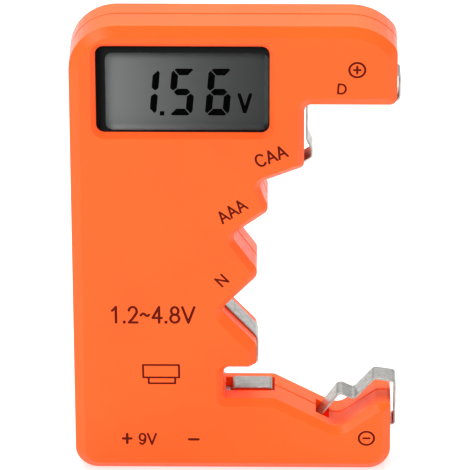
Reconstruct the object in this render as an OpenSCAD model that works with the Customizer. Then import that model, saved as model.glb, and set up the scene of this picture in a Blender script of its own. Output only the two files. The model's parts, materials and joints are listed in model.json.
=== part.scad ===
// Pocket battery tester: a flat two-shell case with stepped jaws on its right
// side, sprung contact strips in the jaws and a small display at the top left.
// X runs across the case, Y runs from the front face (-) to the back (+), Z is up.
// The case stands on its lower edge at Z = 0.

/* [Case] */
// Height of the case
body_h = 95; // [90:0.5:100]
// Thickness of the case from front to back
body_t = 12; // [11.5:0.1:14]
// Wall thickness of both shells
wall = 1.6; // [1.4:0.1:1.8]
// Depth of the parting line behind the front face
seam_d = 6.6; // [6.3:0.1:6.8]
// Depth of the bevel round the front face
bevel_d = 1.15; // [0.8:0.05:1.4]
// Bevel round the rear face
rear_bevel = 1.0; // [0.6:0.1:1.3]
// Radius of the two lower corners
foot_r = 4.5; // [3:0.5:6]
// Radius of the upper left corner
crown_r = 9; // [8.5:0.5:10.5]

/* [Jaws] */
// Distance of the case's left side from the middle line
left_x = 31; // [30.5:0.1:31.5]
// Distance of the upper arm's end from the middle line
arm_x = 30.3; // [30:0.1:30.4]
// Distance of the lower arm's end from the middle line
foot_x = 30; // [29.8:0.1:30.1]
// Height of the upper arm's underside
bay_z = 78.8; // [78:0.1:79.2]
// Distance of the bay's upright wall from the middle line
bay_x = 13; // [12.7:0.1:13.3]
// Height of the flat on the lower arm, under the button cell slot
slot_z = 15.5; // [15.3:0.1:15.6]
// Clear height of the button cell slot
slot_h = 6.9; // [6.8:0.1:7.2]

/* [Display] */
// Width of the window in the front shell
window_w = 32.5; // [31.5:0.1:32.8]
// Height of the window in the front shell
window_h = 17.9; // [17.4:0.1:18]
// Distance of the window's left side from the case's left side
window_inset = 5; // [4.8:0.1:5.4]
// Height of the window's sill
window_z = 73; // [72.9:0.1:73.3]
// Width of the slope round the window
slope_w = 0.95; // [0.6:0.05:1]
// Depth of the slope round the window
slope_d = 1; // [0.7:0.05:1.1]
// Thickness of one sheet of display glass
glass_t = 0.7; // [0.5:0.05:0.8]

/* [Contacts] */
// Width of the positive strips
pos_w = 4.7; // [4.4:0.1:5]
// Width of the sprung negative contact
neg_w = 4.6; // [4:0.1:4.8]
// Thickness of the positive strips
pos_t = 0.35; // [0.3:0.05:0.4]
// Thickness of the sprung negative contact
neg_t = 0.4; // [0.3:0.05:0.45]
// Distance between the two 9 V contacts
snap_pitch = 12.7; // [12.5:0.1:12.9]
// Radius of the peg that the negative contact turns on
peg_r = 0.8; // [0.7:0.05:0.85]
// Running clearance between the peg and the rolled eye
peg_gap = 0.06; // [0.05:0.01:0.09]

/* [Hidden] */

orange = [0.99, 0.42, 0.13];
nickel = [0.72, 0.72, 0.70];
black = [0.05, 0.05, 0.05];

// Outline of the case, anticlockwise from the lower left, as seen from the front:
// [x, z, corner radius, width of the front bevel along the side that follows]
OUTLINE = [
    [-left_x, 0, foot_r, 1.5],
    [foot_x, 0, foot_r, 1.5],
    [foot_x, slot_z - 1, 0.8, 1.2],
    [27.3, slot_z - 1, 1.5, 1.3],
    [19.8, slot_z - 6.7, 3, 1.3],
    [7.5, slot_z, 1.5, 1.3],
    [-2.3, slot_z, 0.6, 1.3],
    [-2.3, slot_z + slot_h, 1.2, 0.9],
    [2.7, slot_z + slot_h, 0.6, 0.9],
    [4.1, 23.3, 0.5, 1.3],
    [4.1, 27.45, 2, 1.8],
    [-2.8, 35.05, 1.4, 1.2],
    [4.8, 43, 2.2, 1.1],
    [-0.85, 51.05, 1.7, 1.2],
    [6.5, 56.5, 1.6, 1.1],
    [4.4, 62.35, 1.4, 1.2],
    [bay_x, 65.8, 1.3, 1.2],
    [bay_x, bay_z, 1.3, 1.8],
    [arm_x, bay_z, 1.4, 1.8],
    [arm_x, body_h - 4.8, 3.4, 1.8],
    [arm_x - 3.9, body_h, 10.3, 1.8],
    [-left_x, body_h, crown_r, 1.9]
];
ALL_SIDES = [for (i = [0 : len(OUTLINE) - 1]) i];
// Sides that the cavity follows: the lip's small bevel and the crest are left out
CAVITY_SIDES = [for (i = ALL_SIDES) if (i != 2 && i != 8) i];
BEVEL = [for (v = OUTLINE) v[3]];

// Depths behind the front face
lens_d = slope_d + 0.12;
collar_d = slope_d + 0.06;
flange_d = wall;
lcd_d = 2.25;
film_t = 0.2;
board_d = 7;
board_t = 1;
strip_d = seam_d - 0.5;
button_d = 6.8;
back_d = body_t - wall;

// Window and display, in x and z
window_x = window_inset - left_x;
window_r = 1.6;
lcd_x = [-25.2, 6.9];
lcd_z = [70.4, 90.9];
ledge_h = 2.6;

// Centre lines of the contact strips: [x, z, bend radius]
BAY_PATH = [
    [28.7, 83.7, 0], [30.825, 83.7, 0.6], [30.825, 77.9, 1.2], [28.8, 78.4, 1.5],
    [bay_x + 0.5, 78.4, 1.2], [bay_x + 0.5, 70.2, 1], [14.45, 68.2, 0.8],
    [14.45, 66.5, 0.8], [12.6, 65.28, 0.8], [1.8, 60.9, 0]
];
AAA_PATH = [[4.2, 58, 0], [5.5, 55.35, 0.5], [-3.6, 48.6, 0]];
N_PATH = [
    [2.2, 44.6, 0], [4, 41.72, 0.6], [-2.35, 35.03, 1.0], [4.27, 27.6, 2.3],
    [4.27, 22.05, 0.5], [-0.4, 22.05, 0.5], [-0.4, 25.3, 0]
];
eye = [15.9, 7.2];
eye_c = peg_r + peg_gap + neg_t / 2;
NEG_BENDS = [
    [20.06, 15.27, 1], [22.95, 13.83, 0.9], [26.83, 18.4, 0.9],
    [30.8, 17.78, 0.7], [30.8, 8.3, 0.5], [28.9, 8.3, 0]
];
BUTTON_PATH = [
    [-3, 13.68, 0], [-0.8, 13.68, 0.3], [-0.4, 15.75, 0.55], [6.95, 15.75, 0.55],
    [7.2, 12, 0]
];

// The case screws and the board screws, in x and z
CASE_SCREWS = [[-26, 6], [25, 5.1], [24.5, 86.2], [-25.9, 43.4]];
BOARD_SCREWS = [[-25.6, 51.2], [-7.6, 51.2], [7.3, 68.7]];
screw_r = 1.1;
boss_r = 2.5;
head_d = 10;
tapper_r = 0.85;
fit = 0.03;

// The two 9 V contacts, in x
snap_x = -14.15;
SNAPS = [snap_x - snap_pitch / 2, snap_x + snap_pitch / 2];
snap_open = 6;

// Wire routes inside the case: [x, z, bend radius]
wire_r = 0.5;
wire_d = 8.56;
BAY_ROUTE = [[1.2, 60.6, 0], [-1.6, 59.5, 1.5], [-3, 62, 1.5], [-3, 66, 0]];
AAA_ROUTE = [[-3.9, 48.1, 0], [-5.4, 46.6, 1.5], [-10.4, 46.6, 1.5], [-10.4, 53, 0]];
N_ROUTE = [[-0.9, 25.9, 0], [-6, 31, 5], [-6, 39, 5], [-12.6, 45, 3], [-12.6, 53, 0]];
NEGATIVE_ROUTE = [
    [13.9, 5.6, 0], [9, 3.6, 3], [-4, 3.6, 6], [-9, 16, 8], [-17, 44, 8], [-17, 53, 0]
];
BUTTON_ROUTE = [[-3.6, 13.2, 0], [-6, 15.5, 3], [-9.5, 30, 8], [-14.8, 44, 6], [-14.8, 53, 0]];
SNAP_POS_ROUTE = [
    [SNAPS[0] + 3.05, 2.2, 0], [SNAPS[0] + 3.05, 9, 4], [-21.4, 40, 8], [-21.4, 53, 0]
];
SNAP_NEG_ROUTE = [
    [SNAPS[1] - 3.05, 2.2, 0], [SNAPS[1] - 3.05, 8, 4], [-19.2, 42, 8], [-19.2, 53, 0]
];
ROUTES = [
    BAY_ROUTE, AAA_ROUTE, N_ROUTE, NEGATIVE_ROUTE, BUTTON_ROUTE, SNAP_POS_ROUTE,
    SNAP_NEG_ROUTE
];

// ---- outlines ----

function unit(v) = v / norm(v);
function turned(v) = [-v[1], v[0]];
function spun(v, a) = [v[0] * cos(a) - v[1] * sin(a), v[0] * sin(a) + v[1] * cos(a)];
function xz(v) = [v[0], v[1]];
function wrap(i, n) = (i + n) % n;

// Signed turn from direction a to direction b, in degrees
function turn(a, b) = atan2(a[0] * b[1] - a[1] * b[0], a * b);

// Points of the arc that rounds corner v, coming along a and leaving along b
function arc_at(v, r, a, b, step) =
    let (t = turn(a, b), s = sign(t), start = v - a * r * tan(abs(t) / 2))
    let (mid = start + turned(a) * s * r, n = max(1, ceil(abs(t) / step)))
    r < 0.01 ? [v] : [for (k = [0 : n]) mid + spun(start - mid, t * k / n)];

// Direction of outline side i, and the corner where sides i and j meet when
// each is moved inwards by its own inset
function side_dir(i) =
    unit(xz(OUTLINE[wrap(i + 1, len(OUTLINE))]) - xz(OUTLINE[i]));
function side_reach(i, inset) = turned(side_dir(i)) * xz(OUTLINE[i]) + inset;
function meet(i, j, inset_i, inset_j) =
    let (m = turned(side_dir(i)), n = turned(side_dir(j)))
    let (p = side_reach(i, inset_i), q = side_reach(j, inset_j))
    [p * n[1] - q * m[1], m[0] * q - n[0] * p] / (m[0] * n[1] - m[1] * n[0]);

// The case outline moved inwards by a list of insets, one for each side. Its
// number of points depends only on the sides used, so two rings can be joined.
function ring(insets, sides = ALL_SIDES) = [
    for (k = [0 : len(sides) - 1])
        let (i = sides[wrap(k - 1, len(sides))], j = sides[k])
        let (a = side_dir(i), b = side_dir(j), r = OUTLINE[j][2])
        let (shift = (insets[i] + insets[j]) / 2)
        let (rr = max(0.2, r - sign(turn(a, b)) * shift))
        each arc_at(meet(i, j, insets[i], insets[j]), rr, a, b, r > 3 ? 9 : 15)
];
function even(d) = [for (v = OUTLINE) d];

// A closed outline rounded at each of its corners [x, z, r]
function rounded(c) = [
    for (i = [0 : len(c) - 1])
        let (p = xz(c[wrap(i - 1, len(c))]), v = xz(c[i]), q = xz(c[wrap(i + 1, len(c))]))
        each arc_at(v, c[i][2], unit(v - p), unit(q - v), 15)
];
function plate(x, z, r) =
    rounded([[x[0], z[0], r], [x[1], z[0], r], [x[1], z[1], r], [x[0], z[1], r]]);

// The window's outline, made larger by a margin
function window_rim(margin) =
    plate([window_x - margin, window_x + window_w + margin],
        [window_z - margin, window_z + window_h + margin], window_r + margin);

// An open path rounded at each of its bends [x, z, r]
function bent(c) = [
    for (i = [0 : len(c) - 1])
        let (v = xz(c[i]))
        let (a = unit(i == 0 ? xz(c[1]) - v : v - xz(c[i - 1])))
        let (b = unit(i == len(c) - 1 ? a : xz(c[i + 1]) - v))
        each arc_at(v, c[i][2], a, b, 18)
];

// The outline of a strip of thickness t that follows path p
function path_dir(p, i) =
    unit(unit(p[min(i + 1, len(p) - 1)] - p[i == len(p) - 1 ? i - 1 : i])
        + unit(p[i == 0 ? 1 : i] - p[max(i - 1, 0)]));
function path_mitre(p, i) =
    i == 0 || i == len(p) - 1 ? 1 : 1 / (path_dir(p, i) * unit(p[i + 1] - p[i]));
function edge_of(p, t) =
    [for (i = [0 : len(p) - 1]) p[i] + turned(path_dir(p, i)) * path_mitre(p, i) * t / 2];
function reversed(p) = [for (i = [len(p) - 1 : -1 : 0]) p[i]];
function band(p, t) = concat(edge_of(p, -t), reversed(edge_of(p, t)));

// ---- building blocks ----

// Extrudes a front view between two depths behind the front face
module slab(d0, d1) {
    translate([0, d1 - body_t / 2, 0])
        rotate([90, 0, 0])
            linear_extrude(d1 - d0) children();
}

// A round bar between two depths, centred on p
module bar(p, r, d0, d1) {
    translate([p[0], d0 - body_t / 2, p[1]])
        rotate([-90, 0, 0])
            cylinder(h = d1 - d0, r = r, $fn = 40);
}

// A box given by its centre in x and z, its size and two depths
module block(p, size, d0, d1) {
    translate([p[0] - size[0] / 2, d0 - body_t / 2, p[1] - size[1] / 2])
        cube([size[0], d1 - d0, size[1]]);
}

// A strip of width w and thickness t along path p, centred at depth d
module strip(p, w, t, d) {
    slab(d - w / 2, d + w / 2) polygon(band(p, t));
}

// Ring of triangular section that cuts a bevel round one face of the case. It
// runs from the edge at edge_d to the face at face_d, a little past both.
module bevel_cutter(widths, edge_d, face_d) {
    over = 0.15;
    drop = edge_d - face_d;
    rings = [ring((1 + over) * widths), ring(-over * widths), ring(-over * widths)];
    depths = [face_d - over * drop, edge_d + over * drop, face_d - over * drop];
    n = len(rings[0]);
    points = [
        for (k = [0 : 2]) for (p = rings[k]) [p[0], depths[k] - body_t / 2, p[1]]
    ];
    walls = [
        for (k = [0 : 2])
            for (i = [0 : n - 1])
                let (j = wrap(i + 1, n), a = k * n, b = wrap(k + 1, 3) * n)
                each [[a + i, b + i, b + j], [a + i, b + j, a + j]]
    ];
    polyhedron(points, drop > 0 ? walls : [for (w = walls) [w[2], w[1], w[0]]]);
}

// Solid that cuts the slope round the window. It runs from the face to the slope's
// foot, a little past both.
module slope_cutter() {
    over = 0.2;
    rims = [window_rim((1 + over) * slope_w), window_rim(-over * slope_w)];
    depths = [-over * slope_d, (1 + over) * slope_d];
    n = len(rims[0]);
    polyhedron(
        [for (k = [0, 1]) for (p = rims[k]) [p[0], depths[k] - body_t / 2, p[1]]],
        concat([[for (i = [n - 1 : -1 : 0]) i]], [[for (i = [0 : n - 1]) n + i]],
            [for (i = [0 : n - 1])
                let (j = wrap(i + 1, n))
                each [[i, j, n + j], [i, n + j, n + i]]]));
}

// ---- case ----

// Everything that both shells leave open for the contacts
module contact_cuts() {
    channel_w = pos_w + 0.3;
    channel_t = pos_t + 0.5;
    strip(bent(BAY_PATH), channel_w, channel_t, strip_d);
    strip(bent(AAA_PATH), channel_w, channel_t, strip_d);
    strip(bent(N_PATH), channel_w, channel_t, strip_d);
    // pocket of the button cell contact
    block([2.83, slot_z - 0.5], [9.5, 4], button_d - 2.6, button_d + 2.6);
    // slot of the negative contact's tail, and the side slot of its hook
    block([16.85, 10.7], [2.6, 6.4], strip_d - neg_w / 2 - 0.25, strip_d + neg_w / 2 + 0.25);
    block([foot_x - 0.4, 8.65], [3.6, 4.5], strip_d - neg_w / 2 - 0.25, strip_d + neg_w / 2 + 0.25);
    // openings of the 9 V contacts
    for (x = SNAPS)
        block([x, wall / 2], [snap_open, wall + 1], strip_d - 3, strip_d + 3);
}

module front_shell() color(orange) {
    tongue_room = 1;
    difference() {
        slab(0, seam_d) polygon(ring(even(0)));
        bevel_cutter(BEVEL, bevel_d, 0);
        slab(wall, seam_d + 1) polygon(ring(even(wall), CAVITY_SIDES));
        // rebate for the rear shell's tongue
        slab(seam_d - tongue_room, seam_d + 1)
            polygon(ring(even(wall / 2), CAVITY_SIDES));
        slab(-1, wall + 1) polygon(window_rim(0));
        slope_cutter();
        contact_cuts();
    }
    for (p = CASE_SCREWS)
        difference() {
            bar(p, boss_r - 0.4, wall, seam_d);
            bar(p, screw_r + fit, 2.6, seam_d + 1);
        }
    for (p = BOARD_SCREWS)
        difference() {
            bar(p, 1.7, wall, board_d);
            bar(p, tapper_r + fit, 3.6, board_d + 1);
        }
    // peg that the negative contact turns on
    bar(eye, peg_r, wall, back_d - 0.1);
}

module rear_shell() color(orange) {
    tongue_h = 0.95;
    tongue_gap = 0.05;
    difference() {
        union() {
            slab(seam_d, body_t) polygon(ring(even(0)));
            slab(seam_d - tongue_h, seam_d)
                polygon(ring(even(wall / 2 + tongue_gap), CAVITY_SIDES));
        }
        bevel_cutter(even(rear_bevel), body_t - rear_bevel, body_t);
        slab(seam_d - 2, back_d) polygon(ring(even(wall), CAVITY_SIDES));
        contact_cuts();
        for (p = CASE_SCREWS)
            bar(p, boss_r - 0.2, head_d, body_t + 1);
        // the front shell's bosses pass the tongue
        for (p = CASE_SCREWS)
            bar(p, boss_r + 0.1, seam_d - 2, seam_d);
    }
    for (p = CASE_SCREWS)
        difference() {
            bar(p, boss_r + 0.6, seam_d + fit, back_d);
            bar(p, screw_r + 0.15, seam_d - 1, body_t);
            bar(p, boss_r - 0.2, head_d, body_t + 1);
        }
}

// ---- display ----

// Aperture of the bezel, whose frame is broader at the left and the top
aperture_x = [window_x + 1.8, window_x + window_w - 0.25];
aperture_z = [window_z + 0.2, window_z + window_h - 1.4];
sill_drop = 0.5;

module display_bezel() color(black) {
    gap = 0.05;
    difference() {
        union() {
            slab(collar_d, flange_d + 0.02) polygon(window_rim(-gap));
            slab(flange_d + 0.02, lcd_d - 0.02)
                polygon(rounded([[-28, 71.2, 1.5], [8.4, 71.2, 1.5],
                    [8.4, 92.6, 1.5], [-28, 92.6, 6.8]]));
        }
        slab(0, lcd_d + 1) polygon(plate(aperture_x, aperture_z, 1.4));
        // behind the collar the sill is lower, so that it hides less of the film
        slab(flange_d + 0.02, lcd_d + 1)
            polygon(plate(aperture_x, aperture_z - [sill_drop, 0], 1.4));
    }
}

module display_window() color([0.8, 0.85, 0.88, 0.35]) {
    gap = 0.04;
    slab(lens_d, lens_d + 0.9)
        polygon(plate([aperture_x[0] + gap, aperture_x[1] - gap],
            [aperture_z[0] + gap, aperture_z[1] - gap], 1.4 - gap));
}

// One flat layer of the display, with its lower edge raised by a step
module lcd_layer(d, t, margin, step) {
    block([(lcd_x[0] + lcd_x[1]) / 2, (lcd_z[0] + step + lcd_z[1]) / 2],
        [lcd_x[1] - lcd_x[0] - 2 * margin, lcd_z[1] - lcd_z[0] - step - 2 * margin],
        d, d + t);
}

// The film is smaller than the glass, most of all at the right
module lcd_front_polariser() color([0.40, 0.41, 0.41]) {
    film_x = [lcd_x[0] + 0.3, lcd_x[1] - 1.4];
    film_z = [lcd_z[0] + 2.1, lcd_z[1] - 0.3];
    block([film_x[0] + film_x[1], film_z[0] + film_z[1]] / 2,
        [film_x[1] - film_x[0], film_z[1] - film_z[0]], lcd_d, lcd_d + film_t);
}
module lcd_front_glass() color([0.70, 0.76, 0.74]) lcd_layer(lcd_d + film_t, glass_t, 0, 0);
module lcd_rear_glass() color([0.66, 0.72, 0.70])
    lcd_layer(lcd_d + film_t + glass_t, glass_t, 0, ledge_h);
module lcd_reflector() color([0.72, 0.73, 0.74])
    lcd_layer(lcd_d + film_t + 2 * glass_t, film_t, 0.3, ledge_h);

module lcd_foam_pad() color([0.16, 0.16, 0.17]) {
    foam_d = lcd_d + 2 * film_t + 2 * glass_t;
    block([-9.2, 82.2], [22, 12], foam_d + 0.02, board_d - 0.02);
}

// Elastic connector between the glass ledge and the board
module zebra_strip() color([0.86, 0.84, 0.78]) {
    zebra_d = lcd_d + film_t + glass_t;
    block([-9.2, lcd_z[0] + ledge_h / 2], [29, 1.8], zebra_d + 0.02, board_d - 0.02);
}

// ---- circuit board ----

module circuit_board() color([0.10, 0.38, 0.20]) {
    slab(board_d, board_d + board_t)
        difference() {
            polygon(rounded([[-28.7, 48.6, 1], [-4.7, 48.6, 0.8], [-4.7, 61.5, 1],
                [10.3, 67.5, 0.8], [10.3, 92.4, 1.5], [-28.7, 92.4, 7.5]]));
            for (p = BOARD_SCREWS)
                translate(p) circle(r = tapper_r + 0.1, $fn = 32);
        }
}

board_back = board_d + board_t;

// Potted chip: a shallow black dome
module controller_chip() color(black) {
    dome_r = 4.4;
    dome_h = 1.3;
    translate([-8, board_back - body_t / 2, 80])
        rotate([-90, 0, 0])
            rotate_extrude($fn = 48)
                polygon([for (a = [0 : 15 : 90]) [dome_r * cos(a), dome_h * sin(a)], [0, 0]]);
}

module boost_chip() color(black) {
    block([3.5, 76], [2.9, 1.5], board_back + 0.12, board_back + 1.1);
    for (x = [-0.95, 0.95])
        block([3.5 + x, 74.85], [0.42, 0.8], board_back, board_back + 0.12);
    block([3.5, 77.15], [0.42, 0.8], board_back, board_back + 0.12);
    for (p = [[-0.95, -0.85], [0.95, -0.85], [0, 0.85]])
        block([3.5 + p[0], 76 + p[1]], [0.42, 0.2], board_back + 0.12, board_back + 0.55);
}

module boost_inductor() color([0.20, 0.20, 0.21]) {
    centre = [3.6, 84];
    bar(centre, 2.3, board_back, board_back + 0.5);
    bar(centre, 1.5, board_back + 0.5, board_back + 1.5);
    bar(centre, 2.3, board_back + 1.5, board_back + 2);
}

// Solder domes on the board, one just past the end of each wire
module solder_joints() color([0.78, 0.78, 0.80]) {
    dome_r = 0.85;
    for (route = ROUTES) {
        tip = route[len(route) - 1];
        translate([tip[0], board_back - body_t / 2, tip[1] + dome_r + 0.1])
            rotate([-90, 0, 0])
                rotate_extrude($fn = 24)
                    polygon([for (a = [0 : 30 : 90]) dome_r * [cos(a), sin(a)], [0, 0]]);
    }
}

module boost_diode() color([0.12, 0.12, 0.12]) {
    block([-1.8, 74.6], [2.7, 1.6], board_back, board_back + 1.05);
}

module reservoir_capacitor() color([0.86, 0.58, 0.16]) {
    block([-17.5, 72.4], [3.5, 2.8], board_back, board_back + 1.7);
}

// Small rectangular parts standing on the board at each place in a list
module chips(places, size, h) {
    for (p = places)
        block(p, size, board_back, board_back + h);
}

module chip_resistors() color([0.09, 0.09, 0.10])
    chips([for (i = [0 : 5]) [-20 + 2.6 * i, 66.4]], [0.85, 1.6], 0.45);

module chip_capacitors() color([0.66, 0.54, 0.40])
    chips([for (i = [0 : 4]) [-22.5, 74 + 2.6 * i]], [1.6, 0.85], 0.8);

// ---- contacts ----

module bay_strip() color(nickel) strip(bent(BAY_PATH), pos_w, pos_t, strip_d);
module aaa_strip() color(nickel) strip(bent(AAA_PATH), pos_w, pos_t, strip_d);
module n_strip() color(nickel) strip(bent(N_PATH), pos_w, pos_t, strip_d);

// Leaf that rises from a rolled eye, passes over two humps and hooks into the
// side of the lower arm
module negative_contact() color(nickel) {
    rise = xz(NEG_BENDS[0]) - eye;
    leave = atan2(rise[1], rise[0]) + acos(eye_c / norm(rise));
    roll = [for (a = [leave + 285 : -15 : leave + 15]) eye + eye_c * [cos(a), sin(a)]];
    tangent = eye + eye_c * [cos(leave), sin(leave)];
    leaf = bent(concat([[tangent[0], tangent[1], 0]], NEG_BENDS));
    strip(concat(roll, leaf), neg_w, neg_t, strip_d);
}

module button_contact() color(nickel) strip(bent(BUTTON_PATH), 4.4, neg_t, button_d);

// Hat-shaped plate behind an opening in the lower edge
module snap_contact(x) {
    path = [[x - 3.6, 1.95, 0], [x - 2.5, 1.95, 0.2], [x - 2.3, 0.75, 0.3],
        [x + 2.3, 0.75, 0.3], [x + 2.5, 1.95, 0.2], [x + 3.6, 1.95, 0]];
    strip(bent(path), 5.4, 0.35, strip_d);
}

module snap_contact_positive() color(nickel) snap_contact(SNAPS[0]);
module snap_contact_negative() color(nickel) snap_contact(SNAPS[1]);

// ---- wires ----

// Round wire that lies in one plane along a rounded route
module wire(route) {
    path = bent(route);
    n = len(path);
    sides = 8;
    points = [
        for (i = [0 : n - 1])
            for (k = [0 : sides - 1])
                let (a = 360 * (k + 0.5) / sides)
                let (p = path[i] + turned(path_dir(path, i)) * path_mitre(path, i) * wire_r * cos(a))
                [p[0], wire_d - body_t / 2 + wire_r * sin(a), p[1]]
    ];
    walls = [
        for (i = [0 : n - 2])
            for (k = [0 : sides - 1])
                [i * sides + k, i * sides + (k + 1) % sides,
                    (i + 1) * sides + (k + 1) % sides, (i + 1) * sides + k]
    ];
    polyhedron(points, concat(
        [[for (k = [sides - 1 : -1 : 0]) k]],
        walls,
        [[for (k = [0 : sides - 1]) (n - 1) * sides + k]]));
}

red = [0.75, 0.08, 0.07];
module bay_wire() color(red) wire(BAY_ROUTE);
module aaa_wire() color(red) wire(AAA_ROUTE);
module n_wire() color(red) wire(N_ROUTE);
module snap_wire_positive() color(red) wire(SNAP_POS_ROUTE);
module negative_wire() color(black) wire(NEGATIVE_ROUTE);
module button_wire() color(black) wire(BUTTON_ROUTE);
module snap_wire_negative() color(black) wire(SNAP_NEG_ROUTE);

// ---- screws ----

// Pan head screw with a cross recess, its head at the back
module screw(p, shank_r, head_r, head_h, tip_d, seat_d) {
    difference() {
        union() {
            bar(p, shank_r, tip_d, seat_d);
            bar(p, head_r, seat_d, seat_d + head_h);
        }
        for (s = [[2.2, 0.5], [0.5, 2.2]])
            block(p, s * head_r / 2, seat_d + head_h * 0.4, seat_d + head_h + 1);
    }
}

module board_screws() color([0.62, 0.62, 0.60])
    for (p = BOARD_SCREWS) screw(p, tapper_r, 1.55, 0.8, 4, board_back);
module case_screws() color([0.62, 0.62, 0.60])
    for (p = CASE_SCREWS) screw(p, screw_r, 2.1, 1.2, 3, head_d);

front_shell();
rear_shell();
display_bezel();
display_window();
lcd_front_polariser();
lcd_front_glass();
lcd_rear_glass();
lcd_reflector();
lcd_foam_pad();
zebra_strip();
circuit_board();
controller_chip();
boost_chip();
boost_inductor();
boost_diode();
reservoir_capacitor();
chip_resistors();
chip_capacitors();
solder_joints();
bay_strip();
aaa_strip();
n_strip();
negative_contact();
button_contact();
snap_contact_positive();
snap_contact_negative();
bay_wire();
aaa_wire();
n_wire();
negative_wire();
button_wire();
snap_wire_positive();
snap_wire_negative();
board_screws();
case_screws();
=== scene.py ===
# %% [markdown]
# # A pocket battery tester
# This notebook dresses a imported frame, which holds every solid of the tester in its true
# place, with the finish of the real thing: glossy orange mouldings with soft edges, bright
# nickel strips, a grey liquid crystal display and printed marks. Sizes in the cells are
# millimetres until a helper turns them into metres.

# %% Load the frame
import json
import math

import bmesh
import bpy
from mathutils import Matrix, Vector


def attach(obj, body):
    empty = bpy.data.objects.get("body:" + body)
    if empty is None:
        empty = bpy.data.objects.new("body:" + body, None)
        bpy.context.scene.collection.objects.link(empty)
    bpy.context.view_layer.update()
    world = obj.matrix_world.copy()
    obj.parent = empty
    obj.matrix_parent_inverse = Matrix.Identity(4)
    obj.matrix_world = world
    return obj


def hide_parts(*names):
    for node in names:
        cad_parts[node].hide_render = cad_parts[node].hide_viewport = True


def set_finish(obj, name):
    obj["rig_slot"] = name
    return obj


MM = 0.001
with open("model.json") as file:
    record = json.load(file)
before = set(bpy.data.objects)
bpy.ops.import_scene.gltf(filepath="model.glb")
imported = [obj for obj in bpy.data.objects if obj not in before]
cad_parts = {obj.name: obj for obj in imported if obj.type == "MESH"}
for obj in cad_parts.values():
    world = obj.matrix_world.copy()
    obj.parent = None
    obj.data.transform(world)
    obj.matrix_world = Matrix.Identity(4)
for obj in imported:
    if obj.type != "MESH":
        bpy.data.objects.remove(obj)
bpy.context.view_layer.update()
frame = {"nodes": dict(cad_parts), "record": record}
scene = bpy.context.scene
scene.view_settings.view_transform = "Standard"

# %% [markdown]
# ## The camera
# The tester stands on its lower edge and is seen from the front, from a little above: the
# top edge shows as a light band over the face. A long lens from almost a metre away keeps
# its upright sides nearly parallel. The camera comes first, so that every piece can be
# judged in the view that it is made for.

# %% Place the camera
LOOK_AT = Vector((0, -6, 51.77)) * MM
CAMERA_DISTANCE = 898 * MM
CAMERA_HEIGHT_ANGLE = math.radians(28.1)
CAMERA_SIDE_ANGLE = math.radians(0.7)
CAMERA_ROLL = math.radians(-0.1)
LENS_MM = 363.5
# The nearest and the farthest thing that the camera takes in, in metres
NEAREST, FARTHEST = 0.05, 20

bpy.ops.object.camera_add(location=LOOK_AT)
camera = bpy.context.object
camera.name = "studio_camera"
away = Vector((
    math.sin(CAMERA_SIDE_ANGLE) * math.cos(CAMERA_HEIGHT_ANGLE),
    -math.cos(CAMERA_SIDE_ANGLE) * math.cos(CAMERA_HEIGHT_ANGLE),
    math.sin(CAMERA_HEIGHT_ANGLE),
))
camera.location = LOOK_AT + away * CAMERA_DISTANCE
aim = away.to_track_quat("Z", "Y").to_matrix()
camera.rotation_euler = (aim @ Matrix.Rotation(CAMERA_ROLL, 3, "Z")).to_euler()
camera.data.lens = LENS_MM
camera.data.clip_start = NEAREST
camera.data.clip_end = FARTHEST
scene.camera = camera
print("camera at", [round(value, 4) for value in camera.location])

# %% [markdown]
# ## Helpers for solid pieces
# Most parts of this object are flat shapes with a constant section from front to back, or a
# loop that changes a little from one depth to the next. Both can be made by hand from a
# circle: its vertices are put on the first loop, the loop is extruded, the new vertices are
# put on the next loop, and so on. A number stored on each vertex says which place of the
# loop it holds, and an extruded vertex inherits it.

# %% Pull a loop into a solid
HALF_THICKNESS = 6.0
# A closed loft's last loop lies on its first, and is joined to it within this many metres
SAME_PLACE = 1e-7


def deselect_all():
    bpy.ops.object.select_all(action="DESELECT")


def make_active(piece):
    deselect_all()
    piece.select_set(True)
    bpy.context.view_layer.objects.active = piece


def at_depth(points, depth):
    """Puts a front view's points (x, z) at a depth behind the front face, in metres."""
    return [Vector((x, depth - HALF_THICKNESS, z)) * MM for x, z in points]


def loft(name, loops, closed=False):
    """Pulls one loop of vertices through a list of loops. A closed loft ends where it began."""
    deselect_all()
    bpy.ops.mesh.primitive_circle_add(vertices=len(loops[0]), radius=MM)
    piece = bpy.context.object
    piece.name = name
    bpy.ops.object.mode_set(mode="EDIT")
    mesh = bmesh.from_edit_mesh(piece.data)
    place = mesh.verts.layers.int.new("place")
    for number, vertex in enumerate(mesh.verts):
        vertex[place] = number
        vertex.co = loops[0][number]
    bmesh.update_edit_mesh(piece.data)
    if not closed:
        bpy.ops.mesh.edge_face_add()
        bpy.ops.mesh.select_all(action="SELECT")
    for loop in loops[1:]:
        if closed:
            bpy.ops.mesh.extrude_edges_move()
        else:
            bpy.ops.mesh.extrude_region_move()
        mesh = bmesh.from_edit_mesh(piece.data)
        place = mesh.verts.layers.int["place"]
        for vertex in mesh.verts:
            if vertex.select:
                vertex.co = loop[vertex[place]]
        bmesh.update_edit_mesh(piece.data)
    bpy.ops.mesh.select_all(action="SELECT")
    if closed:
        bpy.ops.mesh.remove_doubles(threshold=SAME_PLACE)
    bpy.ops.mesh.normals_make_consistent(inside=False)
    bpy.ops.object.mode_set(mode="OBJECT")
    return piece


# %% [markdown]
# ## Helpers for copies and cuts
# A frame solid is a heap of loose triangles, which is fine to look at but not to work on.
# Its copy is welded first, and triangles that lie in one flat are made one face. Waste is
# then taken off with a Boolean modifier. It could be done by hand in edit mode, but the
# jaws have far too many corners for that. A Boolean can leave a hole where two faces nearly
# coincide, so the edges are counted after each cut.

# %% Weld a copy, and cut it
# Vertices of a frame solid that are this many metres apart are one
WELD = 2e-6
# Faces that turn by less than this are one flat
FLAT_ANGLE = math.radians(0.4)
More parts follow.
